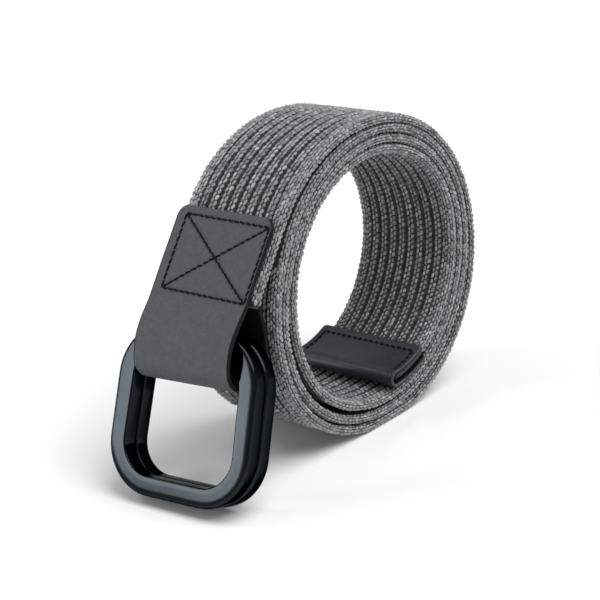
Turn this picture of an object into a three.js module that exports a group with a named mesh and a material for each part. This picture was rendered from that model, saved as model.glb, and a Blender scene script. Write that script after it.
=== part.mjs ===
// Canvas belt rolled up on its edge: a ribbed webbing strap with a leather cap on its free end,
// and a folded leather tab that holds two rectangular metal rings.
// Millimetres, +Z up. The coil's axis is along Y, the rings are on the -X side.
import * as THREE from 'three';

const RAD = Math.PI / 180;

// Webbing. It lies a little to the near side (-Y) of the tab that holds it.
const STRAP_WIDTH = 40.2;
const STRAP_OFFSET = -1.1;
const STRAP_THICKNESS = 3.0;
const RIB_COUNT = 8;
const RIB_PITCH = 3.9;
const RIB_DEPTH = 0.35;
const SELVEDGE_SHOULDER = 18.4;
const SELVEDGE_HALF_THICKNESS = 1.45;
const SELVEDGE_END_HALF_THICKNESS = 0.8;
const FACETS_PER_TURN = 28;
const COIL_START = -85;
const COIL_END = 1228;
const TAIL_LENGTH = 27;
const TAIL_STEPS = 3;
const FLOOR_PRESS = 0.6;

// Leather
const TAB_THICKNESS = 1.5;
const TAB_WIDTH = 39.6;
const TAB_NARROWING = 0.07;
const TAB_CORNER = 4;
const TAB_STEPS = 44;
const TIP_THICKNESS = 1;
const TIP_WIDTH = 43.2;
const TIP_OFFSET = -0.4;
const TIP_CORNER = 1.5;
const TIP_START = -60;
const TIP_ARC_STEP = 4;
const TIP_END_ROOM = 0.5;
const TIP_STEPS = 26;
const LEATHER_GAP = 0.38;
const TIP_INNER_GAP = 0.7;

// Rings
const RING_TOP_WIDTH = 52.2;
const RING_BOTTOM_WIDTH = 54.2;
const RING_HEIGHT = 54;
const RING_BAR = 6.2;
const RING_DEPTH = 5.7;
const RING_CORNER = 17.2;
const RING_EDGE = 1.2;
const ARC_HANDLE = 0.5523;
const RING_GAP = 0.3;
const RING_LEAN = 21.25;
const RING_TWIST = 5.1;
const RING_ROLL = 3.4;
const RING_TOP = { x: -72.8, y: -1.7, z: 1.9 };
const TWIST_STARTS_AT = 16;
const TWIST_ENDS_AT = -6;
const TAB_SIDE = -57;

// Radius of the webbing's middle line round the coil's centre, one row for each layer from the
// free end outwards. Each column is a direction in degrees: 0 towards +X, 90 upwards.
const COIL_STEP = 60;
const COIL_FIRST_ANGLE = -92;
const COIL = [
  // 268, 328, 28, 88, 148, 208
  [37.4, 38.9, 42, 42.8, 46, 46.1],
  [43.2, 43.6, 45.4, 46.2, 49.2, 51.2],
  [47.3, 47.6, 48.8, 49.5, 52.4, 54.7],
  [51.2, 52.6, 52.1, 52.7, 57.8, 58],
];

// Middle line of the tab's fold, seen from the side: down from the rings' top edge, out from their front face.
const FOLD = [
  // down, out
  [-5.5, -1.6],
  [0.5, 1.3],
  [5.5, 3],
  [10.2, 3.2],
  [14, 2],
  [16.2, -0.9],
  [17, -4.8],
  [16.5, -9.6],
  [14, -13.7],
  [9, -15.6],
  [3, -15.2],
  [-3.5, -12.4],
  [-9, -9.2],
];

// A smooth curve through the radii of the table.
function coilRadius(angle) {
  const radii = COIL.flat();
  const last = radii.length - 1;
  const place = (angle - COIL_FIRST_ANGLE) / COIL_STEP;
  const row = Math.min(Math.max(Math.floor(place), 0), last - 1);
  const at = (index) => {
    if (index < 0) return 2 * radii[0] - radii[1];
    if (index > last) return 2 * radii[last] - radii[last - 1];
    return radii[index];
  };
  const f = place - row;
  const [a, b, c, d] = [at(row - 1), at(row), at(row + 1), at(row + 2)];
  return 0.5 * (2 * b + (c - a) * f + (2 * a - 5 * b + 4 * c - d) * f * f + (3 * b - a - 3 * c + d) * f ** 3);
}

function coilPoint(angle, offset = 0) {
  const radius = coilRadius(angle) + offset;
  return new THREE.Vector3(radius * Math.cos(angle * RAD), 0, radius * Math.sin(angle * RAD));
}

// The straight outer end leaves the coil along its tangent.
const tailStart = coilPoint(COIL_END);
const tailDirection = coilPoint(COIL_END).sub(coilPoint(COIL_END - 1)).normalize();
const tailOutward = new THREE.Vector3(tailDirection.z, 0, -tailDirection.x);

// Turn angles of the facets' corners. They fall either side of the coil's lowest point, which puts
// a facet flat on the floor.
function facetAngles() {
  const facet = 360 / FACETS_PER_TURN;
  const angles = [COIL_START];
  const first = (Math.ceil(COIL_START / facet) + 0.5) * facet;
  for (let angle = first; angle < COIL_END; angle += facet) angles.push(angle);
  return [...angles, COIL_END];
}

class StrapPath extends THREE.Curve {
  constructor() {
    super();
    this.angles = facetAngles();
    this.turnSteps = this.angles.length - 1;
    this.steps = this.turnSteps + TAIL_STEPS;
  }

  // Steps of turn angle, so that the facets of neighbouring layers stay side by side.
  getUtoTmapping(u) {
    return u;
  }

  getPoint(t, target = new THREE.Vector3()) {
    const step = t * this.steps;
    if (step <= this.turnSteps) {
      const facet = Math.min(Math.floor(step), this.turnSteps - 1);
      const angle = THREE.MathUtils.lerp(this.angles[facet], this.angles[facet + 1], step - facet);
      return target.copy(coilPoint(angle));
    }
    const along = ((step - this.turnSteps) * TAIL_LENGTH) / TAIL_STEPS;
    return target.copy(tailStart).addScaledVector(tailDirection, along);
  }
}

// Ribbed section: x runs across the strap, y is its thickness, outwards.
function strapSection() {
  const crest = STRAP_THICKNESS / 2;
  const face = [];
  for (let half = 0; half <= 2 * RIB_COUNT; half += 1) {
    const x = ((half - RIB_COUNT) * RIB_PITCH) / 2;
    face.push([x, half % 2 === 1 ? crest : crest - RIB_DEPTH]);
  }
  const edge = [
    [SELVEDGE_SHOULDER, SELVEDGE_HALF_THICKNESS],
    [STRAP_WIDTH / 2, SELVEDGE_END_HALF_THICKNESS],
  ];
  const mirror = (points, sx, sy) => points.map(([x, y]) => [x * sx, y * sy]);
  const outline = [
    ...mirror(face, 1, -1),
    ...mirror(edge, 1, -1),
    ...mirror(edge, 1, 1).reverse(),
    ...mirror(face, -1, 1),
    ...mirror(edge, -1, 1),
    ...mirror(edge, -1, -1).reverse(),
  ];
  return new THREE.Shape(outline.map(([x, y]) => new THREE.Vector2(x, y)));
}

// Flat strip section with broken edges.
function stripSection(width, thickness) {
  const [w, h, cut] = [width / 2, thickness / 2, thickness / 4];
  const corners = [[-w, -h + cut], [-w + cut, -h], [w - cut, -h], [w, -h + cut]];
  const rest = corners.map(([x, y]) => [-x, -y]);
  return new THREE.Shape([...corners, ...rest].map(([x, y]) => new THREE.Vector2(x, y)));
}

// A section swept along a path, moved sideways by offset.
function sweep(section, path, steps, offset = 0) {
  return new THREE.ExtrudeGeometry(section, { steps, extrudePath: path }).translate(0, offset, 0);
}

function moveVertices(geometry, move) {
  const place = geometry.attributes.position;
  const point = new THREE.Vector3();
  for (let i = 0; i < place.count; i += 1) {
    move(point.fromBufferAttribute(place, i));
    place.setXYZ(i, point.x, point.y, point.z);
  }
  geometry.computeBoundingBox();
}

// Narrows a strip near its end so that its corners are round in plan.
function roundCorner(point, fromEnd, halfWidth, radius) {
  if (fromEnd >= radius) return;
  const inside = radius - Math.max(fromEnd, 0);
  const limit = halfWidth - (radius - Math.sqrt(radius * radius - inside * inside));
  point.y = Math.sign(point.y) * Math.min(Math.abs(point.y), limit);
}

// Place of the rings, turned by a share of their twist and roll: x across, y up, z out of the front face.
function ringPlace(share, height) {
  const lean = RING_LEAN * RAD;
  const across = new THREE.Vector3(0, -1, 0);
  const up = new THREE.Vector3(Math.sin(lean), 0, Math.cos(lean));
  const out = new THREE.Vector3(-Math.cos(lean), 0, Math.sin(lean));
  const place = new THREE.Matrix4().makeBasis(across, up, out);
  place.multiply(new THREE.Matrix4().makeRotationY(share * RING_TWIST * RAD));
  place.multiply(new THREE.Matrix4().makeRotationZ(share * RING_ROLL * RAD));
  return place.setPosition(RING_TOP.x, share * RING_TOP.y, height);
}

// The tab narrows and turns with the rings below the end of the webbing.
function turnWithRings(point, height, narrowing = 0) {
  if (point.x > TAB_SIDE) return;
  const share = 1 - THREE.MathUtils.smoothstep(point.z, TWIST_ENDS_AT, TWIST_STARTS_AT);
  point.y *= 1 - share * narrowing;
  const back = ringPlace(0, height).invert();
  point.applyMatrix4(back).applyMatrix4(ringPlace(share, height));
}

function ringGeometry() {
  const outline = (inset) => {
    const top = RING_TOP_WIDTH / 2 - inset;
    const bottom = RING_BOTTOM_WIDTH / 2 - inset;
    const [high, low] = [-inset, inset - RING_HEIGHT];
    const r = RING_CORNER - inset;
    const flare = ((bottom - top) * r) / RING_HEIGHT;
    const path = new THREE.Path();
    const corner = (x, y, fromX, fromY, toX, toY) => {
      const mix = (end, at) => end + (at - end) * ARC_HANDLE;
      path.lineTo(fromX, fromY);
      path.bezierCurveTo(mix(fromX, x), mix(fromY, y), mix(toX, x), mix(toY, y), toX, toY);
    };
    path.moveTo(0, high);
    corner(-top, high, -top + r, high, -top - flare, high - r);
    corner(-bottom, low, -bottom + flare, low + r, -bottom + r, low);
    corner(bottom, low, bottom - r, low, bottom - flare, low + r);
    corner(top, high, top + flare, high - r, top - r, high);
    path.closePath();
    return path;
  };
  const shape = new THREE.Shape(outline(RING_EDGE).getPoints(6));
  shape.holes.push(outline(RING_BAR - RING_EDGE));
  const geometry = new THREE.ExtrudeGeometry(shape, {
    depth: RING_DEPTH - 2 * RING_EDGE,
    bevelThickness: RING_EDGE,
    bevelSize: RING_EDGE,
    bevelSegments: 2,
    curveSegments: 6,
  });
  return geometry.translate(0, 0, RING_EDGE - RING_DEPTH);
}

function webbingGeometry() {
  const path = new StrapPath();
  return sweep(strapSection(), path, path.steps, STRAP_OFFSET);
}

function tabPath(height) {
  const along = (distance, offset) => tailStart.clone()
    .addScaledVector(tailDirection, distance)
    .addScaledVector(tailOutward, offset);
  const offset = STRAP_THICKNESS / 2 + LEATHER_GAP + TAB_THICKNESS / 2;
  const front = [-1, 8, 16, 21, 26].map((distance) => along(distance, offset));
  const back = [20, 14, 7, 1].map((distance) => along(distance, -offset));
  const place = ringPlace(0, height);
  const fold = FOLD.map(([down, out]) => new THREE.Vector3(0, -down, out).applyMatrix4(place));
  return new THREE.CatmullRomCurve3([...front, ...fold, ...back], false, 'centripetal');
}

function tabGeometry(height) {
  const geometry = sweep(stripSection(TAB_WIDTH, TAB_THICKNESS), tabPath(height), TAB_STEPS);
  moveVertices(geometry, (point) => {
    const fromEnd = point.clone().sub(tailStart).dot(tailDirection);
    roundCorner(point, fromEnd, TAB_WIDTH / 2, TAB_CORNER);
    turnWithRings(point, height, TAB_NARROWING);
  });
  return geometry;
}

function tipPath() {
  const middle = (STRAP_THICKNESS + TIP_THICKNESS) / 2;
  const inwards = middle + TIP_INNER_GAP;
  const outwards = middle + LEATHER_GAP;
  const inner = [];
  const outer = [];
  for (let angle = TIP_START; angle > COIL_START; angle -= TIP_ARC_STEP) {
    inner.push(coilPoint(angle, -inwards));
    outer.unshift(coilPoint(angle, outwards));
  }
  const radius = (inwards + outwards) / 2;
  const rise = (outwards - inwards) / 2;
  const end = coilPoint(COIL_START);
  const outward = end.clone().normalize();
  const beyond = new THREE.Vector3(end.z, 0, -end.x).normalize();
  const fold = [-90, -45, 0, 45, 90].map((angle) => end.clone()
    .addScaledVector(outward, rise + radius * Math.sin(angle * RAD))
    .addScaledVector(beyond, TIP_END_ROOM + radius * Math.cos(angle * RAD)));
  return new THREE.CatmullRomCurve3([...inner, ...fold, ...outer], false, 'centripetal');
}

function tipGeometry() {
  const geometry = sweep(stripSection(TIP_WIDTH, TIP_THICKNESS), tipPath(), TIP_STEPS);
  const start = coilPoint(TIP_START);
  const inwards = coilPoint(TIP_START - 1).sub(start).normalize();
  moveVertices(geometry, (point) => {
    const fromEnd = point.clone().sub(start).dot(inwards);
    roundCorner(point, fromEnd, TIP_WIDTH / 2, TIP_CORNER);
  });
  return geometry.translate(0, TIP_OFFSET, 0);
}

function bottomOf(geometry) {
  geometry.computeBoundingBox();
  return geometry.boundingBox.min.z;
}

const leather = { color: 0x3b3c42, roughness: 0.55, metalness: 0 };
const canvas = { color: 0x7d7d7d, roughness: 0.95, metalness: 0 };
const blackMetal = { color: 0x15161a, roughness: 0.12, metalness: 1 };

function piece(name, geometry, look) {
  const mesh = new THREE.Mesh(geometry, new THREE.MeshStandardMaterial(look));
  mesh.name = name;
  return mesh;
}

// The coil stands on a patch pressed flat by its weight, and the rings' foot on the same floor.
const webbing = webbingGeometry();
const floor = bottomOf(webbing) + FLOOR_PRESS;
const frontDepth = 0;
const backDepth = -RING_DEPTH - RING_GAP;
const trial = ringGeometry().translate(0, 0, backDepth).applyMatrix4(ringPlace(1, RING_TOP.z));
const ringHeight = RING_TOP.z + floor - bottomOf(trial);

moveVertices(webbing, (point) => {
  point.z = Math.max(point.z, floor);
  turnWithRings(point, ringHeight);
});

function ring(name, depth) {
  const geometry = ringGeometry().translate(0, 0, depth).applyMatrix4(ringPlace(1, ringHeight));
  return piece(name, geometry, blackMetal);
}

const belt = new THREE.Group();
belt.add(piece('webbing', webbing, canvas));
belt.add(piece('tab_leather', tabGeometry(ringHeight), leather));
belt.add(ring('ring_front', frontDepth));
belt.add(ring('ring_back', backDepth));
belt.add(piece('tip_leather', tipGeometry(), leather));

// The origin is on the floor under the middle of the belt's box.
const box = new THREE.Box3().setFromObject(belt);
const middle = box.getCenter(new THREE.Vector3());
belt.position.set(-middle.x, -middle.y, -box.min.z);

export default belt;
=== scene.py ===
import math

import bpy
import numpy as np
from mathutils import Matrix, Vector


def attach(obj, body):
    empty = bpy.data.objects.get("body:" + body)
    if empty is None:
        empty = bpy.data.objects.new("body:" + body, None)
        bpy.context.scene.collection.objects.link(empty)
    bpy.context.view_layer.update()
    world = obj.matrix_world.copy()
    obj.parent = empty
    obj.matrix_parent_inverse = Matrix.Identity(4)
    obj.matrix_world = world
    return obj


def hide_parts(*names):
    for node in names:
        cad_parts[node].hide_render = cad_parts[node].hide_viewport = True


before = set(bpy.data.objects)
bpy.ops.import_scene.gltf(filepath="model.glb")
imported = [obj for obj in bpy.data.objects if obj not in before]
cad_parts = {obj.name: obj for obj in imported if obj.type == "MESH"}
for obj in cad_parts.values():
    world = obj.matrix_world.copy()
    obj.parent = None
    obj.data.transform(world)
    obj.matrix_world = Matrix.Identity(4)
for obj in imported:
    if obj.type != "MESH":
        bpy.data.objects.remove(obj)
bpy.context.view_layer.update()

MM = 0.001
COIL_CENTRE = np.array([19.644, 2.978, 51.891])
FLOOR = -COIL_CENTRE[2]

# Radius of the webbing's middle line, one row for each layer from the free end outwards.
# Each column is a direction in degrees: 0 towards +X, 90 upwards.
COIL_STEP = 60
COIL_FIRST_ANGLE = -92
COIL = [
    # 268, 328, 28, 88, 148, 208
    [37.4, 38.9, 42, 42.8, 46, 46.1],
    [43.2, 43.6, 45.4, 46.2, 49.2, 51.2],
    [47.3, 47.6, 48.8, 49.5, 52.4, 54.7],
    [51.2, 52.6, 52.1, 52.7, 57.8, 58],
]
COIL_START = -85
COIL_END = 1228
TAIL_LENGTH = 27
COIL_POINTS = 4000
TAIL_POINTS = 40

# Where the coil stands on the floor: the gap under it, how softly it is pressed flat, and the least gap under
# its yarns.
STANDING_GAP = 0.12
STANDING_SOFTNESS = 0.15
LEAST_FLOOR_GAP = 0.03

# Webbing. It lies a little to the near side (-Y) of the tab that holds it. Its ground stops END_CUT before
# its ends.
STRAP_OFFSET = -1.1
STRAP_THICKNESS = 3.0
FACE_HALF_WIDTH = 18.65
EDGE_RADIUS = 1.45
END_CUT = 0.3

# Woven ground. RIB_CREST is half the width of a rib's level top. The ground is dark as painted shade between
# the floats, and darker still, as painted shade in the grooves, from a share of the groove's depth.
RIBS = 8
RIB_PITCH = 3.9
RIB_CREST = 0.9
GROOVE_DEPTH = 1.0
GROUND_SINK = 0.3
GROOVE_SHADE_STARTS = 0.35
GROUND_COLUMNS = 180
GROUND_ROWS = 420

# Yarn floats. A rib has a column of them on each side of its crest, RIB_COLUMN from it. They are a little
# coarser than the real ones, so that each still shows in the render. Towards its ends a float narrows, gets
# lower and dips in. BLUNT_END keeps the ends of floats and stitches from closing to a point.
RIB_COLUMN = 0.7
SELVEDGE_COLUMNS = 9
FLOAT_PITCH = 2.0
FLOAT_WIDTH = 1.1
FLOAT_HEIGHT = 0.45
FLOAT_NARROWING = 0.8
FLOAT_LOWERING = 0.75
FLOAT_DIP = 0.15
BLUNT_END = 1.02

# Each kind's length, slant in degrees, and shares of charcoal, heather grey and pale grey yarn. Those in the
# grooves lie nearly across the webbing and have two yarns darkened as painted shade.
OUTER_FLOATS = (2.0, 12, (0.36, 0.4, 0.24))
# The inner face's floats have little pale yarn: painted shade inside the coil.
INNER_FLOATS = (1.7, 10, (0.45, 0.45, 0.1))
SELVEDGE_FLOATS = (2.0, -2, (0.25, 0.4, 0.35))
GROOVE_FLOATS = (1.3, 72, (0.5, 0.5))

# The floats are on the outermost turn's outer face, this far from the outer end, and on the innermost turn's
# inner face, as far as this from the free end. The rest is covered.
OUTER_FLOATS_RUN = 350
INNER_FLOATS_END = 275

# How much the floats differ: slant in degrees, a share of their size, and their place and height.
SLANT_SPREAD = 4
SIZE_SPREAD = 0.08
ALONG_SPREAD = 0.1
AROUND_SPREAD = 0.03
RISE_SPREAD = 0.06

# Leather
TAB_THICKNESS = 1.5
TAB_WIDTH = 39.6
TAB_NARROWING = 0.07
TAB_CORNER = 4
TIP_THICKNESS = 1.0
TIP_WIDTH = 43.2
TIP_OFFSET = -0.4
TIP_CORNER = 1.5
TIP_START = -60
TIP_ARC_STEP = 4
TIP_END_ROOM = 0.5
TIP_COVERS = 15
LEATHER_GAP = 0.38
TIP_INNER_GAP = 0.7
LEATHER_STEP = 0.6
EDGE_POINTS = 5
END_ROUNDING = 0.45

# Places along the webbing's straight end that the tab's two leaves run through, in the order of its fold.
TAB_FRONT_LEAF = (-1, 8, 16, 21, 26)
TAB_BACK_LEAF = (20, 14, 7, 1)

# Middle line of the tab's fold, from the rings' top edge: down the rings, and out from their front face.
FOLD = [
    # down, out
    (-5.5, -1.6),
    (0.5, 1.3),
    (5.5, 3),
    (10.2, 3.2),
    (14, 2),
    (16.2, -0.9),
    (17, -4.8),
    (16.5, -9.6),
    (14, -13.7),
    (9, -15.6),
    (3, -15.2),
    (-3.5, -12.4),
    (-9, -9.2),
]

# Sewing. A stitch has a length and a thread width. Half of a seam's dent is a narrow groove of SEAM_WIDTH to
# each side, and half a soft hollow of SEAM_PULL. It is only in the strip's surface above PRESSED_FROM of its
# thickness.
STITCH_PITCH = 2.4
STITCH_SLANT = 8
STITCH_SLANT_SPREAD = 4
TAB_STITCH = (2.6, 0.68)
TIP_STITCH = (1.8, 0.95)
THREAD_BOW = 0.14
THREAD_DIP = 0.18
SEAM_DEPTH = 0.55
SEAM_WIDTH = 0.8
SEAM_PULL = 3.5
PRESSED_FROM = 0.4

# Seams: how far along the strip from its first end, and how far to the far (+) or near (-) side of its
# middle.
TAB_BOX_TOP = 2.9
TAB_BOX_BOTTOM = 27.6
TAB_BOX_FAR = 16.0
TAB_BOX_NEAR = -18.3
TIP_SEAM_TOP = 2.8
TIP_SEAM_SIDE = 19.4
TIP_SEAM_BOTTOM = 15.0

# Rings
RING_TOP_WIDTH = 52.2
RING_BOTTOM_WIDTH = 54.2
RING_HEIGHT = 54
RING_BAR = 6.2
RING_DEPTH = 5.7
RING_CORNER = 17.2
RING_GAP = 0.3
OUTER_ROUNDING = 1.1
INNER_ROUNDING = 0.5
ARC_HANDLE = 0.5523
ARC_STEPS = 18
LONG_SIDE = 5
LONG_SIDE_STEPS = 6

# How the rings hang in the tab: angles in degrees, and the place of their top edge. The tab takes up their
# twist between two heights, and nothing on the coil's side of TAB_SIDE turns.
RING_LEAN = 21.25
RING_TWIST = 5.1
RING_ROLL = 3.4
RING_TOP = (-72.8, -1.7, 2.473)
TWIST_STARTS_AT = 16
TWIST_ENDS_AT = -6
TAB_SIDE = -57


def coil_radius(angle):
    """A smooth curve through the radii of the table."""
    radii = np.concatenate(COIL)
    last = len(radii) - 1
    padded = np.concatenate([[2 * radii[0] - radii[1]], radii, [2 * radii[-1] - radii[-2]]])
    place = (angle - COIL_FIRST_ANGLE) / COIL_STEP
    row = np.clip(np.floor(place), 0, last - 1).astype(int)
    f = place - row
    a, b, c, d = (padded[row + k] for k in range(4))
    return 0.5 * (2 * b + (c - a) * f + (2 * a - 5 * b + 4 * c - d) * f**2 + (3 * b - a - 3 * c + d) * f**3)


def coil_point(angle, offset=0.0):
    radius = coil_radius(angle) + offset
    turn = np.radians(angle)
    return np.stack([radius * np.cos(turn), radius * np.sin(turn)], axis=-1)


def smooth_curve(points, steps=24):
    """A curve through the points whose pace follows the gaps between them, so that it doesn't overshoot."""
    points = np.asarray(points, dtype=float)
    first = 2 * points[0] - points[1]
    last = 2 * points[-1] - points[-2]
    knots = np.vstack([first, points, last])
    pace = np.sqrt(np.linalg.norm(np.diff(knots, axis=0), axis=1))
    curve = []
    for k in range(1, len(knots) - 2):
        p0, p1, p2, p3 = knots[k - 1 : k + 3]
        d0, d1, d2 = pace[k - 1 : k + 2]
        start = ((p1 - p0) / d0 - (p2 - p0) / (d0 + d1) + (p2 - p1) / d1) * d1
        end = ((p2 - p1) / d1 - (p3 - p1) / (d1 + d2) + (p3 - p2) / d2) * d1
        t = np.linspace(0, 1, steps, endpoint=False)[:, None]
        bend = (2 * p1 - 2 * p2 + start + end) * t**3 + (-3 * p1 + 3 * p2 - 2 * start - end) * t**2
        curve.append(bend + start * t + p1)
    return np.vstack([*curve, points[-1:]])


class SideLine:
    """A line in the belt's side view that a strap follows. Outward is to the right of its travel."""

    def __init__(self, points, step=0.25):
        run = np.concatenate([[0], np.cumsum(np.linalg.norm(np.diff(points, axis=0), axis=1))])
        self.length = run[-1]
        self.along = np.linspace(0, self.length, int(self.length / step) + 1)
        self.points = np.stack([np.interp(self.along, run, points[:, k]) for k in range(2)], axis=-1)
        travel = np.gradient(self.points, axis=0)
        travel /= np.linalg.norm(travel, axis=1)[:, None]
        self.outward = np.stack([travel[:, 1], -travel[:, 0]], axis=-1)

    def place(self, along, side, lift):
        """Points beside the line: along it, side from the middle of the belt, and lift outwards."""
        along, side, lift = np.broadcast_arrays(along, side, lift)
        x, z, out_x, out_z = (
            np.interp(along, self.along, column)
            for column in (self.points[:, 0], self.points[:, 1], self.outward[:, 0], self.outward[:, 1])
        )
        size = np.hypot(out_x, out_z)
        return np.stack([x + lift * out_x / size, side, z + lift * out_z / size], axis=-1)


def straight_end():
    """Start, direction and outward side of the webbing's straight outer end."""
    start = coil_point(COIL_END)
    direction = start - coil_point(COIL_END - 1)
    direction = direction / np.linalg.norm(direction)
    return start, direction, np.array([direction[1], -direction[0]])


def webbing_line():
    """The webbing's middle line. Where it meets the floor it is pressed flat by its weight."""
    angles = np.linspace(COIL_START, COIL_END, COIL_POINTS)
    start, direction, _ = straight_end()
    tail = start + direction * np.linspace(0, TAIL_LENGTH, TAIL_POINTS)[1:, None]
    points = np.vstack([coil_point(angles), tail])
    lowest = FLOOR + STRAP_THICKNESS / 2 + STANDING_GAP
    above = points[:, 1] - lowest
    points[:, 1] = lowest + 0.5 * (above + np.sqrt(above**2 + STANDING_SOFTNESS))
    return SideLine(points)


def tab_line():
    """The tab's middle line: down the webbing's outer face, round the rings' bars and up its inner face."""
    start, direction, outward = straight_end()
    offset = STRAP_THICKNESS / 2 + LEATHER_GAP + TAB_THICKNESS / 2
    front = [start + direction * distance + outward * offset for distance in TAB_FRONT_LEAF]
    back = [start + direction * distance - outward * offset for distance in TAB_BACK_LEAF]
    lean = math.radians(RING_LEAN)
    up = np.array([math.sin(lean), math.cos(lean)])
    out = np.array([-math.cos(lean), math.sin(lean)])
    top = np.array([RING_TOP[0], RING_TOP[2]])
    fold = [top - up * down + out * away for down, away in FOLD]
    return SideLine(smooth_curve([*front, *fold, *back]))


def tip_line():
    """The tip's middle line: along the webbing's inner face to its free end, round it and back outside."""
    middle = (STRAP_THICKNESS + TIP_THICKNESS) / 2
    inwards = middle + TIP_INNER_GAP
    outwards = middle + LEATHER_GAP
    angles = np.arange(TIP_START, COIL_START, -TIP_ARC_STEP)
    inner = coil_point(angles, -inwards)
    outer = coil_point(angles, outwards)[::-1]
    radius = (inwards + outwards) / 2
    rise = (outwards - inwards) / 2
    end = coil_point(COIL_START)
    outward = end / np.linalg.norm(end)
    beyond = np.array([outward[1], -outward[0]])
    turn = np.radians([-90, -45, 0, 45, 90])[:, None]
    fold = end + outward * (rise + radius * np.sin(turn)) + beyond * (TIP_END_ROOM + radius * np.cos(turn))
    return SideLine(smooth_curve([*inner, *fold, *outer]))


def turned(points, share):
    """Points in the rings' own axes, turned by a share of their twist and roll."""
    roll = np.radians(RING_ROLL) * share
    twist = np.radians(RING_TWIST) * share
    x, y, z = points[..., 0], points[..., 1], points[..., 2]
    x, y = x * np.cos(roll) - y * np.sin(roll), x * np.sin(roll) + y * np.cos(roll)
    x, z = x * np.cos(twist) + z * np.sin(twist), z * np.cos(twist) - x * np.sin(twist)
    return np.stack([x, y, z], axis=-1)


def ring_axes():
    """Across, up and out of the rings' front face, as rows."""
    lean = math.radians(RING_LEAN)
    return np.array([
        [0, -1, 0],
        [math.sin(lean), 0, math.cos(lean)],
        [-math.cos(lean), 0, math.sin(lean)],
    ])


def ring_place(points, share=1.0):
    """Points from the rings' own axes to the belt's, with a share of the rings' twist and sideways shift."""
    share = np.asarray(share, dtype=float)
    top = np.stack([RING_TOP[0] + 0 * share, RING_TOP[1] * share, RING_TOP[2] + 0 * share], axis=-1)
    return turned(points, share) @ ring_axes() + top


def turn_with_rings(points, narrowing=0.0):
    """The tab and the webbing's end turn with the rings lower down. The tab also narrows there."""
    rise = np.clip((points[..., 2] - TWIST_ENDS_AT) / (TWIST_STARTS_AT - TWIST_ENDS_AT), 0, 1)
    share = 1 - rise * rise * (3 - 2 * rise)
    share = np.where(points[..., 0] > TAB_SIDE, 0, share)
    narrowed = points * np.stack([1 + 0 * share, 1 - share * narrowing, 1 + 0 * share], axis=-1)
    local = (narrowed - np.array([RING_TOP[0], 0, RING_TOP[2]])) @ ring_axes().T
    return ring_place(local, share)


def grid_mesh(name, grids, round_columns=False, round_rows=False, material_of=None):
    """One mesh from point grids of the same size: grids[grid, row, column] is a place in millimetres."""
    grids = np.asarray(grids)
    count, rows, columns, _ = grids.shape
    index = np.arange(count * rows * columns).reshape(count, rows, columns)
    if round_rows:
        index = np.concatenate([index, index[:, :1]], axis=1)
    if round_columns:
        index = np.concatenate([index, index[:, :, :1]], axis=2)
    corners = [index[:, :-1, :-1], index[:, :-1, 1:], index[:, 1:, 1:], index[:, 1:, :-1]]
    faces = np.stack(corners, axis=-1)
    mesh = bpy.data.meshes.new(name)
    points = (grids.reshape(-1, 3) + COIL_CENTRE) * MM
    mesh.from_pydata(points.tolist(), [], faces.reshape(-1, 4).tolist())
    mesh.shade_smooth()
    if material_of is not None:
        slots = np.broadcast_to(material_of, faces.shape[:3])
        mesh.polygons.foreach_set("material_index", slots.astype(np.int32).ravel())
    piece = bpy.data.objects.new(name, mesh)
    bpy.context.scene.collection.objects.link(piece)
    return piece


def finish_piece(piece, body, materials, replaces=()):
    """Gives a piece its materials, the body that it rides on and the nodes that it stands for."""
    for material in materials:
        piece.data.materials.append(material)
    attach(piece, body)
    if replaces:
        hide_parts(*replaces)
    return piece


def section_round():
    """Length round the webbing's section."""
    return 4 * FACE_HALF_WIDTH + 2 * math.pi * EDGE_RADIUS


def section_point(around, lift):
    """Side and height of a point on the webbing's section. It starts at the middle of the outer face."""
    length = section_round()
    around = np.mod(around, length)
    far = around > length / 2
    place = np.where(far, length - around, around)
    arc = math.pi * EDGE_RADIUS
    turn = np.clip((place - FACE_HALF_WIDTH) / EDGE_RADIUS, 0, math.pi)
    beyond = np.clip(place - FACE_HALF_WIDTH - arc, 0, None)
    side = np.minimum(place, FACE_HALF_WIDTH) - beyond
    height = (STRAP_THICKNESS / 2 + lift) * np.cos(turn)
    side = side + (EDGE_RADIUS + lift) * np.sin(turn)
    return np.where(far, -side, side), height


def on_webbing(line, along, around, lift):
    """Points along the webbing, round its section and lifted from its surface, but never under the floor."""
    side, height = section_point(around, lift)
    points = turn_with_rings(line.place(along, side + STRAP_OFFSET, height))
    points[..., 2] = np.maximum(points[..., 2], FLOOR + LEAST_FLOOR_GAP)
    return points


def selvedge_columns(middle, numbers):
    """Places round the section of columns of floats beside an edge's middle, where there are no ribs."""
    spacing = (section_round() / 2 - RIBS * RIB_PITCH) / SELVEDGE_COLUMNS
    return middle + np.array(numbers) * spacing


def face_columns(middle):
    """Places of the columns of floats on one face: two to a rib, and two beside each edge."""
    crests = middle + (np.arange(RIBS) - (RIBS - 1) / 2) * RIB_PITCH
    quarter = section_round() / 4
    before = selvedge_columns(middle - quarter, [3, 4])
    after = selvedge_columns(middle + quarter, [-4, -3])
    ribbed = np.stack([crests - RIB_COLUMN, crests + RIB_COLUMN], axis=-1).ravel()
    return np.concatenate([before, ribbed, after])


def groove_columns(middle):
    """Places of the grooves between the ribs of one face."""
    return middle + (np.arange(1, RIBS) - RIBS / 2) * RIB_PITCH


def ground_lift(around):
    """Height of the woven ground: rounded ribs with grooves between them on the faces, and flat edges."""
    half = section_round() / 2
    place = np.mod(around + half / 2, half) - half / 2
    ribbed = RIBS * RIB_PITCH / 2
    from_crest = np.abs(np.mod(place - ribbed, RIB_PITCH) - RIB_PITCH / 2)
    t = np.clip((from_crest - RIB_CREST) / (RIB_PITCH / 2 - RIB_CREST), 0, 1)
    groove = np.where(np.abs(place) > ribbed, 0, t * t * (3 - 2 * t))
    return -GROUND_SINK - GROOVE_DEPTH * groove


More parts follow.
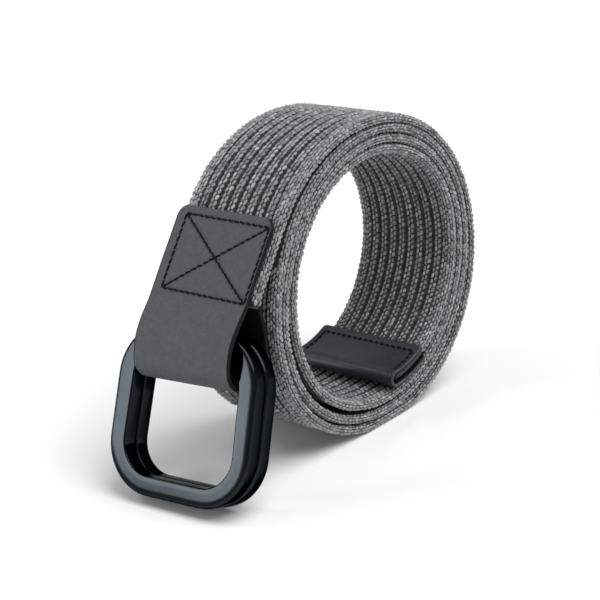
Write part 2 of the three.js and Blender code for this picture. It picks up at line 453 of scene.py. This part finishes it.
def webbing_ground(line, materials):
    """The woven ground, a little below the floats: a strap with ribs. Its materials are crest and groove,
    both painted shade, the groove's darker.
    """
    length = section_round()
    around = np.arange(0, length, length / GROUND_COLUMNS)
    start, end = END_CUT, line.length - END_CUT
    along = np.linspace(start, end, GROUND_ROWS)[:, None]
    lift = ground_lift(around)
    body = on_webbing(line, along, around, lift)
    closed = [on_webbing(line, np.array([[cut]]), around, lift * 0 - EDGE_RADIUS) for cut in (start, end)]
    grid = np.concatenate([closed[0], body, closed[1]])
    # Ground deep in the grooves gets the darker material: painted shade.
    in_groove = (lift < -GROUND_SINK - GROOVE_DEPTH * GROOVE_SHADE_STARTS).astype(int)
    piece = grid_mesh("webbing_ground", [grid], round_columns=True, material_of=in_groove[None, None, :])
    return finish_piece(piece, "belt", materials, replaces=["webbing"])


def float_template(length, slant):
    """One yarn float: a slanted half shell, in rows along it. It narrows and dips in at its ends."""
    rows = np.array([-1, -0.62, 0, 0.62, 1])[:, None]
    columns = np.array([-1, 0, 1])[None, :]
    forward = rows * length / 2 + 0 * columns
    sideways = columns * FLOAT_WIDTH / 2 * np.sqrt(BLUNT_END - FLOAT_NARROWING * rows**2)
    lift = FLOAT_HEIGHT * (1 - columns**2) * (1 - FLOAT_LOWERING * rows**4) - FLOAT_DIP * rows**2
    along = forward * np.cos(slant) - sideways * np.sin(slant)
    around = forward * np.sin(slant) + sideways * np.cos(slant)
    return along, around, lift


def webbing_floats(name, line, run, columns, style, yarns):
    """Columns of yarn floats, each half a float ahead of the next. A column is a place round the section."""
    random = np.random.default_rng(len(name))
    start, end = run
    length, slant, shares = style
    grids, shades = [], []
    for k, middle in enumerate(columns):
        first = start + FLOAT_PITCH * (1 + k % 2 / 2)
        rows = np.arange(first, end - FLOAT_PITCH, FLOAT_PITCH)[:, None, None]
        each = rows.shape
        slants = np.radians(random.normal(slant, SLANT_SPREAD, each))
        forward, sideways, lift = float_template(length, slants)
        along = rows + forward * random.normal(1, SIZE_SPREAD, each) + random.normal(0, ALONG_SPREAD, each)
        around = middle + sideways * random.normal(1, SIZE_SPREAD, each)
        around = around + random.normal(0, AROUND_SPREAD, each)
        rise = random.normal(0, RISE_SPREAD, each)
        grids.append(on_webbing(line, along, around, ground_lift(around) + lift + rise))
        shades.append(random.choice(len(yarns), each, p=shares))
    piece = grid_mesh(name, np.concatenate(grids), material_of=np.concatenate(shades))
    return finish_piece(piece, "belt", yarns)


def strip_section(half_width, thickness, columns):
    """Side and height round a strip's section, with rounded edges: outer face, edge, inner face, edge."""
    radius = thickness / 2
    flat = half_width - radius
    across = np.linspace(-1, 1, columns)
    turn = np.linspace(-90, 90, EDGE_POINTS + 2)[1:-1] * math.pi / 180
    level = np.full(columns, radius)
    bulge, fall = radius * np.cos(turn), radius * np.sin(turn)
    side = np.concatenate([across * flat, flat + bulge, -across * flat, -flat - bulge])
    height = np.concatenate([level, -fall, -level, fall])
    return side, height


def strip_rows(length, step, cap):
    """Distances along a strip, close together at its two ends, and how thick it is there as a share."""
    ends = cap * (1 - np.cos(np.linspace(0, 1, 6) * math.pi / 2))
    middle = np.linspace(cap, length - cap, int(length / step))[1:-1]
    along = np.concatenate([ends, middle, (length - ends)[::-1]])
    fullness = np.sqrt(np.clip(1 - (1 - np.clip(np.minimum(along, length - along) / cap, 0, 1)) ** 2, 0, 1))
    return along, fullness


def corner_width(from_end, half_width, radius):
    """Half the width of a strip whose corners are round in plan."""
    inside = np.clip(radius - from_end, 0, radius)
    return half_width - (radius - np.sqrt(radius**2 - inside**2))


def to_segments(along, side, seams):
    """Distance of surface places from the nearest seam. A seam is a pair of (along, side) ends."""
    nearest = np.full(np.broadcast(along, side).shape, np.inf)
    for (a0, s0), (a1, s1) in seams:
        da, ds = a1 - a0, s1 - s0
        t = np.clip(((along - a0) * da + (side - s0) * ds) / (da * da + ds * ds), 0, 1)
        nearest = np.minimum(nearest, np.hypot(along - a0 - t * da, side - s0 - t * ds))
    return nearest


def leather_strip(name, line, width, thickness, corner, seams, narrowing, offset=0.0):
    """A leather strip along a line, pressed in along its seams. Its materials: face, cut edge, and flesh
    side, near black as painted shade.
    """
    along, fullness = strip_rows(line.length, LEATHER_STEP, thickness * END_ROUNDING)
    columns = int(width / LEATHER_STEP)
    widest = corner_width(np.minimum(along, line.length - along), width / 2, corner)
    rows = []
    for half_width, full in zip(widest, fullness):
        side, height = strip_section(half_width, thickness, columns)
        rows.append(np.stack([side, height * full], axis=-1))
    rows = np.array(rows)
    side, height = rows[..., 0], rows[..., 1]
    away = to_segments(along[:, None], side, seams)
    dent = SEAM_DEPTH / 2 * (np.exp(-((away / SEAM_WIDTH) ** 2)) + np.exp(-((away / SEAM_PULL) ** 2)))
    lift = height - np.where(height > thickness * PRESSED_FROM, dent, 0)
    points = turn_with_rings(line.place(along[:, None], side + offset, lift), narrowing)
    parts = np.repeat([0, 1, 2, 1], [columns - 1, EDGE_POINTS + 1, columns - 1, EDGE_POINTS + 1])
    return grid_mesh(name, [points], round_columns=True, material_of=parts[None, None, :])


def sewn_thread(name, line, thickness, seams, stitch, narrowing, materials, offset=0.0):
    """Single stitches along the seams, each a short rounded thread that dips in at its ends."""
    stitch_length, thread_width = stitch
    random = np.random.default_rng(len(name))
    turn = np.linspace(0, 2 * math.pi, 8, endpoint=False)[None, :]
    run = np.linspace(-1, 1, 7)[:, None]
    grids = []
    for (a0, s0), (a1, s1) in seams:
        length = math.hypot(a1 - a0, s1 - s0)
        count = max(round(length / STITCH_PITCH), 1)
        for k in range(count):
            t = (k + 0.5) / count
            centre_along = a0 + (a1 - a0) * t
            centre_side = s0 + (s1 - s0) * t
            slant = math.radians(random.normal(STITCH_SLANT, STITCH_SLANT_SPREAD))
            heading = math.atan2(s1 - s0, a1 - a0) + slant
            radius = thread_width / 2 * np.sqrt(np.clip(BLUNT_END - run**4, 0, 1))
            forward = run * stitch_length / 2
            sideways = radius * np.cos(turn)
            along = centre_along + forward * math.cos(heading) - sideways * math.sin(heading)
            side = centre_side + forward * math.sin(heading) + sideways * math.cos(heading)
            bow = THREAD_BOW - THREAD_DIP * run**4
            lift = thickness / 2 - SEAM_DEPTH + bow + radius * np.sin(turn)
            grids.append(turn_with_rings(line.place(along, side + offset, lift), narrowing))
    piece = grid_mesh(name, np.array(grids), round_columns=True)
    return finish_piece(piece, "belt", materials)


def tab_seams():
    """The stitched box on the tab's front with its two diagonals."""
    top, bottom, far, near = TAB_BOX_TOP, TAB_BOX_BOTTOM, TAB_BOX_FAR, TAB_BOX_NEAR
    corners = [(top, near), (top, far), (bottom, far), (bottom, near)]
    sides = [(corners[k], corners[(k + 1) % 4]) for k in range(4)]
    return [*sides, (corners[0], corners[2]), (corners[1], corners[3])]


def tip_seams():
    """Stitches just inside the leather's sewn edge and its two sides."""
    top, bottom, half = TIP_SEAM_TOP, TIP_SEAM_BOTTOM, TIP_SEAM_SIDE
    return [((bottom, -half), (top, -half)), ((top, -half), (top, half)), ((top, half), (bottom, half))]


def ring_outline(inset):
    """The ring's outline, drawn in by inset: straight sides that widen downwards, and round corners."""
    top = RING_TOP_WIDTH / 2 - inset
    bottom = RING_BOTTOM_WIDTH / 2 - inset
    high, low = -inset, inset - RING_HEIGHT
    r = RING_CORNER - inset
    flare = (bottom - top) * r / RING_HEIGHT
    corners = [
        ((-top, high), (-top + r, high), (-top - flare, high - r)),
        ((-bottom, low), (-bottom + flare, low + r), (-bottom + r, low)),
        ((bottom, low), (bottom - r, low), (bottom - flare, low + r)),
        ((top, high), (top + flare, high - r), (top - r, high)),
    ]
    points = []
    for corner, start, end in (np.array(row) for row in corners):
        a = start + (corner - start) * ARC_HANDLE
        b = end + (corner - end) * ARC_HANDLE
        t = np.linspace(0, 1, ARC_STEPS)[:, None]
        curve = start * (1 - t) ** 3 + 3 * a * t * (1 - t) ** 2 + 3 * b * t**2 * (1 - t) + end * t**3
        points.append(curve)
    rounded = np.vstack(points)
    # The straight sides get points of their own, so that reflections stay even.
    following = np.roll(rounded, -1, axis=0)
    filled = []
    for here, there in zip(rounded, following):
        gap = np.linalg.norm(there - here)
        pieces = LONG_SIDE_STEPS if gap > LONG_SIDE else 1
        filled.extend(here + (there - here) * k / pieces for k in range(pieces))
    return np.array(filled)


def ring_profile():
    """Inset and depth round the bar's section: flat faces, a wide rounding outside, a small one inside."""
    quarter = np.radians(np.linspace(0, 90, 8))
    rise, run = 1 - np.sin(quarter), 1 - np.cos(quarter)
    outer_front = np.stack([OUTER_ROUNDING * run, -OUTER_ROUNDING * rise], axis=-1)
    inner_front = np.stack([RING_BAR - INNER_ROUNDING * rise, -INNER_ROUNDING * run], axis=-1)
    front = np.vstack([outer_front, [[RING_BAR * 0.4, 0]], [[RING_BAR * 0.7, 0]], inner_front])
    back = front[::-1] * [1, -1] + [0, -RING_DEPTH]
    return np.vstack([front, back])


def ring_piece(name, node, body, depth, material):
    """One ring, its section carried round its outline. Depth is where its front face is."""
    grid = []
    for inset, down in ring_profile():
        outline = ring_outline(inset)
        grid.append(np.column_stack([outline, np.full(len(outline), down + depth)]))
    points = ring_place(np.array(grid))
    piece = grid_mesh(name, [points], round_columns=True, round_rows=True)
    return finish_piece(piece, body, [material], replaces=[node])


def linear(code):
    """An sRGB hex colour as linear red, green, blue and full alpha."""
    values = [int(code[k : k + 2], 16) / 255 for k in (1, 3, 5)]
    return (*[v / 12.92 if v <= 0.04045 else ((v + 0.055) / 1.055) ** 2.4 for v in values], 1.0)


def per_metre(size):
    """How often a pattern of that size in millimetres repeats in a metre."""
    return 1000 / size


def add_node(tree, kind, values=None, links=None, **settings):
    """Adds a node, with its settings, its sockets' values, and links from other nodes' sockets."""
    node = tree.nodes.new("ShaderNode" + kind)
    for name, setting in settings.items():
        setattr(node, name, setting)
    for socket, value in (values or {}).items():
        node.inputs[socket].default_value = value
    for socket, source in (links or {}).items():
        tree.links.new(source, node.inputs[socket])
    return node


def new_material(name):
    """A material with its node tree, its shader, and the surface's own place in metres."""
    material = bpy.data.materials.new(name)
    material.use_nodes = True
    tree = material.node_tree
    shader = tree.nodes["Principled BSDF"]
    place = add_node(tree, "TexCoord").outputs["Object"]
    return material, tree, shader, place


def colour_ramp(tree, source, stops):
    """A colour that changes with the source, from pairs of a position and an sRGB hex value."""
    ramp = add_node(tree, "ValToRGB", links={"Fac": source})
    elements = ramp.color_ramp.elements
    while len(elements) < len(stops):
        elements.new(0.5)
    for element, (position, colour) in zip(elements, stops):
        element.position = position
        element.color = linear(colour)
    return ramp.outputs["Color"]


def heather_yarn(name, dark, middle, light):
    """Spun cotton yarn of mixed grey fibres: matt, with short light and dark streaks and a fine fuzz.

    The streaks are 1.5 mm. The fuzz is 0.25 mm, much coarser than cotton fibres, which are too fine to show.
    """
    material, tree, shader, place = new_material(name)
    look = {"Scale": per_metre(1.5), "Detail": 4.0, "Roughness": 0.7}
    streaks = add_node(tree, "TexNoise", look, {"Vector": place})
    colour = colour_ramp(tree, streaks.outputs["Fac"], [(0.33, dark), (0.5, middle), (0.66, light)])
    tree.links.new(colour, shader.inputs["Base Color"])
    fibre = add_node(tree, "TexNoise", {"Scale": per_metre(0.25), "Detail": 2.0}, {"Vector": place})
    bump = add_node(tree, "Bump", {"Strength": 0.6, "Distance": 0.15 * MM}, {"Height": fibre.outputs["Fac"]})
    tree.links.new(bump.outputs["Normal"], shader.inputs["Normal"])
    shader.inputs["Roughness"].default_value = 0.92
    shader.inputs["IOR"].default_value = 1.5
    shader.inputs["Specular IOR Level"].default_value = 0.25
    shader.inputs["Sheen Weight"].default_value = 0.15
    shader.inputs["Sheen Roughness"].default_value = 0.5
    return material


def grained_leather(name, dark, light, roughness, grain_depth):
    """Corrected-grain cowhide with a soft finish: fine pebbles that break up a broad satin highlight.

    The pebbles are 0.55 mm and the clouds in its tone 1.6 mm. The pores are 0.3 mm, coarser than real ones,
    which are too fine to show.
    """
    material, tree, shader, place = new_material(name)
    look = {"Scale": per_metre(1.6), "Detail": 5.0, "Roughness": 0.75}
    clouds = add_node(tree, "TexNoise", look, {"Vector": place})
    colour = colour_ramp(tree, clouds.outputs["Fac"], [(0.3, dark), (0.7, light)])
    tree.links.new(colour, shader.inputs["Base Color"])
    size = {"Scale": per_metre(0.55)}
    pebbles = add_node(tree, "TexVoronoi", size, {"Vector": place}, feature="SMOOTH_F1")
    pores = add_node(tree, "TexNoise", {"Scale": per_metre(0.3), "Detail": 3.0}, {"Vector": place})
    both = {0: pebbles.outputs["Distance"], 1: pores.outputs["Fac"]}
    height = add_node(tree, "Math", links=both, operation="ADD")
    depth = {"Strength": 1.0, "Distance": grain_depth * MM}
    bump = add_node(tree, "Bump", depth, {"Height": height.outputs["Value"]})
    tree.links.new(bump.outputs["Normal"], shader.inputs["Normal"])
    shader.inputs["Roughness"].default_value = roughness
    shader.inputs["IOR"].default_value = 1.5
    return material


def cut_edge(name, colour, light):
    """Leather without its grain, cut or split: matt, dyed or painted, with fibres that show as flecks.

    The flecks are 0.8 mm, many fibres wide, because single fibres are too fine to show. Near black, the same
    material stands for the shaded flesh side: painted shade.
    """
    material, tree, shader, place = new_material(name)
    fibres = add_node(tree, "TexNoise", {"Scale": per_metre(0.8), "Detail": 3.0}, {"Vector": place})
    mix = colour_ramp(tree, fibres.outputs["Fac"], [(0.35, colour), (0.7, light)])
    tree.links.new(mix, shader.inputs["Base Color"])
    shader.inputs["Roughness"].default_value = 0.7
    shader.inputs["Specular IOR Level"].default_value = 0.15
    return material


def bonded_thread():
    """Bonded black polyester thread: nearly black, with a twist of 0.5 mm that shows as faint flecks."""
    material, tree, shader, place = new_material("bonded_black_thread")
    twist = add_node(tree, "TexNoise", {"Scale": per_metre(0.5), "Detail": 2.0}, {"Vector": place})
    colour = colour_ramp(tree, twist.outputs["Fac"], [(0.3, "#040405"), (0.7, "#0b0b0d")])
    tree.links.new(colour, shader.inputs["Base Color"])
    shader.inputs["Roughness"].default_value = 0.6
    shader.inputs["Specular IOR Level"].default_value = 0.15
    return material


def black_nickel():
    """Zinc alloy with a polished black nickel plating: a very dark mirror with a faint blue.

    Its tone drifts a little over 14 mm. The specular tint keeps the bars' sides dark where they are seen at a
    low angle.
    """
    material, tree, shader, place = new_material("polished_black_nickel")
    wear = add_node(tree, "TexNoise", {"Scale": per_metre(14), "Detail": 3.0}, {"Vector": place})
    colour = colour_ramp(tree, wear.outputs["Fac"], [(0.3, "#222629"), (0.7, "#272a2d")])
    tree.links.new(colour, shader.inputs["Base Color"])
    shader.inputs["Metallic"].default_value = 1.0
    shader.inputs["Specular Tint"].default_value = linear("#909090")
    shader.inputs["Roughness"].default_value = 0.12
    return material


def matt_white():
    """Matt white studio paper: even and without a highlight."""
    material, _, shader, _ = new_material("matt_white_paper")
    shader.inputs["Base Color"].default_value = linear("#fbfbfb")
    shader.inputs["Roughness"].default_value = 0.9
    return material


# Camera in the shared frame, in millimetres and degrees: heading from +X towards +Y, tilt upwards, and roll.
CAMERA_PLACE = (-358.12, -307.27, 212.4)
CAMERA_HEADING = 40.905
CAMERA_TILT = -19.338
CAMERA_ROLL = -3.879
FOCAL_LENGTH = 90.81
SENSOR_WIDTH = 36

# Studio, in metres: each softbox's direction, distance, size and power in watts, the place they face, the
# light from above, the surroundings, and half the floor's width.
RING_LIGHT = ((-0.84, 0.52, 0.2), 0.8, 0.22, 1.3)
TIP_LIGHT = ((-0.38, 0.62, 0.68), 0.6, 0.12, 0.35)
LIGHTS_AIM = (0, 0, 0.05)
OVERHEAD_DIRECTION = (0.15, -0.5, 1.0)
OVERHEAD_SPREAD = 50
OVERHEAD_STRENGTH = 2.35
SURROUNDINGS_STRENGTH = 0.4
FLOOR_HALF = 3.0


def add_camera():
    """The camera where the photograph was taken from."""
    data = bpy.data.cameras.new("camera")
    data.sensor_width = SENSOR_WIDTH
    data.lens = FOCAL_LENGTH
    data.clip_start = 0.01
    camera = bpy.data.objects.new("camera", data)
    heading = Matrix.Rotation(math.radians(CAMERA_HEADING - 90), 4, "Z")
    tilt = Matrix.Rotation(math.radians(CAMERA_TILT + 90), 4, "X")
    roll = Matrix.Rotation(math.radians(CAMERA_ROLL), 4, "Z")
    camera.matrix_world = Matrix.Translation(Vector(CAMERA_PLACE) * MM) @ heading @ tilt @ roll
    bpy.context.scene.collection.objects.link(camera)
    bpy.context.scene.camera = camera


def add_softbox(name, direction, distance, size, power):
    """A square studio light that faces the middle of the belt."""
    data = bpy.data.lights.new(name, "AREA")
    data.shape = "SQUARE"
    data.size = size
    data.energy = power
    light = bpy.data.objects.new(name, data)
    way = Vector(direction).normalized()
    light.location = Vector(LIGHTS_AIM) + way * distance
    light.rotation_euler = way.to_track_quat("Z", "Y").to_euler()
    bpy.context.scene.collection.objects.link(light)


def add_overhead():
    """A wide even light from above, far away, so that the floor is lit evenly."""
    data = bpy.data.lights.new("overhead", "SUN")
    data.energy = OVERHEAD_STRENGTH
    data.angle = math.radians(OVERHEAD_SPREAD)
    light = bpy.data.objects.new("overhead", data)
    light.rotation_euler = Vector(OVERHEAD_DIRECTION).to_track_quat("Z", "Y").to_euler()
    bpy.context.scene.collection.objects.link(light)


def add_floor(material):
    mesh = bpy.data.meshes.new("floor")
    corners = [(x * FLOOR_HALF, y * FLOOR_HALF, 0) for x, y in ((-1, -1), (1, -1), (1, 1), (-1, 1))]
    mesh.from_pydata(corners, [], [(0, 1, 2, 3)])
    mesh.materials.append(material)
    floor = bpy.data.objects.new("floor", mesh)
    bpy.context.scene.collection.objects.link(floor)


def add_surroundings():
    world = bpy.data.worlds.new("studio")
    bpy.context.scene.world = world
    world.use_nodes = True
    background = world.node_tree.nodes["Background"]
    background.inputs["Color"].default_value = linear("#ffffff")
    background.inputs["Strength"].default_value = SURROUNDINGS_STRENGTH


def set_tones():
    """Plain display colours, so that the white floor stays white."""
    bpy.context.scene.view_settings.view_transform = "Standard"


def make_webbing():
    """The woven ground with its floats. Floats that the coil's other turns or the tip cover are left out."""
    line = webbing_line()
    ground = [
        heather_yarn("shaded_cotton_crest", "#2a2a2b", "#3b3b3c", "#4f4f51"),
        heather_yarn("shaded_cotton_groove", "#1e1e1f", "#2d2d2e", "#404042"),
    ]
    yarns = [
        heather_yarn("charcoal_cotton_yarn", "#636365", "#7f7f81", "#989899"),
        heather_yarn("heather_grey_cotton_yarn", "#707072", "#909092", "#aaaaac"),
        heather_yarn("pale_grey_cotton_yarn", "#7e7e80", "#a0a0a2", "#bcbcbe"),
    ]
    # The weft in the grooves is darkened: painted shade.
    weft_yarns_painted_shade = [
        heather_yarn("black_weft_painted_shade", "#1a1a1b", "#262627", "#353536"),
        heather_yarn("charcoal_weft_painted_shade", "#2a2a2b", "#3c3c3d", "#505052"),
    ]
    webbing_ground(line, ground)
    outer, inner = 0, section_round() / 2
    outer_run = line.length - OUTER_FLOATS_RUN, line.length
    inner_run = TIP_COVERS, INNER_FLOATS_END
    webbing_floats("webbing_outer_floats", line, outer_run, face_columns(outer), OUTER_FLOATS, yarns)
    webbing_floats("webbing_inner_floats", line, inner_run, face_columns(inner), INNER_FLOATS, yarns)
    webbing_floats("webbing_outer_weft", line, outer_run, groove_columns(outer), GROOVE_FLOATS, weft_yarns_painted_shade)
    webbing_floats("webbing_inner_weft", line, inner_run, groove_columns(inner), GROOVE_FLOATS, weft_yarns_painted_shade)
    quarter = section_round() / 4
    for side, middle in (("far", quarter), ("near", -quarter)):
        edge = selvedge_columns(middle, [-2, -1, 0, 1, 2])
        whole_run = TIP_COVERS, line.length
        webbing_floats(f"webbing_{side}_selvedge", line, whole_run, edge, SELVEDGE_FLOATS, yarns)


def make_leather():
    """The tab and the tip, each with its stitches."""
    tab_face = grained_leather("grained_cowhide_tab", "#3f4043", "#4f5055", 0.6, 0.2)
    tab_edge = cut_edge("painted_leather_edge", "#121214", "#1c1c1f")
    tip_face = grained_leather("grained_cowhide_tip", "#202129", "#2e3039", 0.38, 0.06)
    tip_edge = cut_edge("raw_leather_edge", "#3c3d40", "#5c5d60")
    # The flesh side inside the tab's loop and the tip is near black: painted shade.
    flesh_painted_shade = cut_edge("flesh_side_painted_shade", "#0a0a0b", "#151517")
    thread = [bonded_thread()]
    line, seams = tab_line(), tab_seams()
    tab = leather_strip("tab_leather_strip", line, TAB_WIDTH, TAB_THICKNESS, TAB_CORNER, seams, TAB_NARROWING)
    finish_piece(tab, "belt", [tab_face, tab_edge, flesh_painted_shade], replaces=["tab_leather"])
    sewn_thread("tab_stitches", line, TAB_THICKNESS, seams, TAB_STITCH, TAB_NARROWING, thread)
    line, seams = tip_line(), tip_seams()
    tip = leather_strip("tip_leather_cap", line, TIP_WIDTH, TIP_THICKNESS, TIP_CORNER, seams, 0, TIP_OFFSET)
    finish_piece(tip, "belt", [tip_face, tip_edge, flesh_painted_shade], replaces=["tip_leather"])
    sewn_thread("tip_stitches", line, TIP_THICKNESS, seams, TIP_STITCH, 0, thread, TIP_OFFSET)


def make_rings():
    """Two equal rings, the back one behind the front one with a small gap."""
    plating = black_nickel()
    ring_piece("front_ring_plated", "ring_front", "front_ring", 0, plating)
    ring_piece("back_ring_plated", "ring_back", "back_ring", -RING_DEPTH - RING_GAP, plating)


def make_studio():
    add_camera()
    add_floor(matt_white())
    add_surroundings()
    set_tones()
    add_overhead()
    add_softbox("ring_light", *RING_LIGHT)
    add_softbox("tip_light", *TIP_LIGHT)


make_webbing()
make_leather()
make_rings()
make_studio()
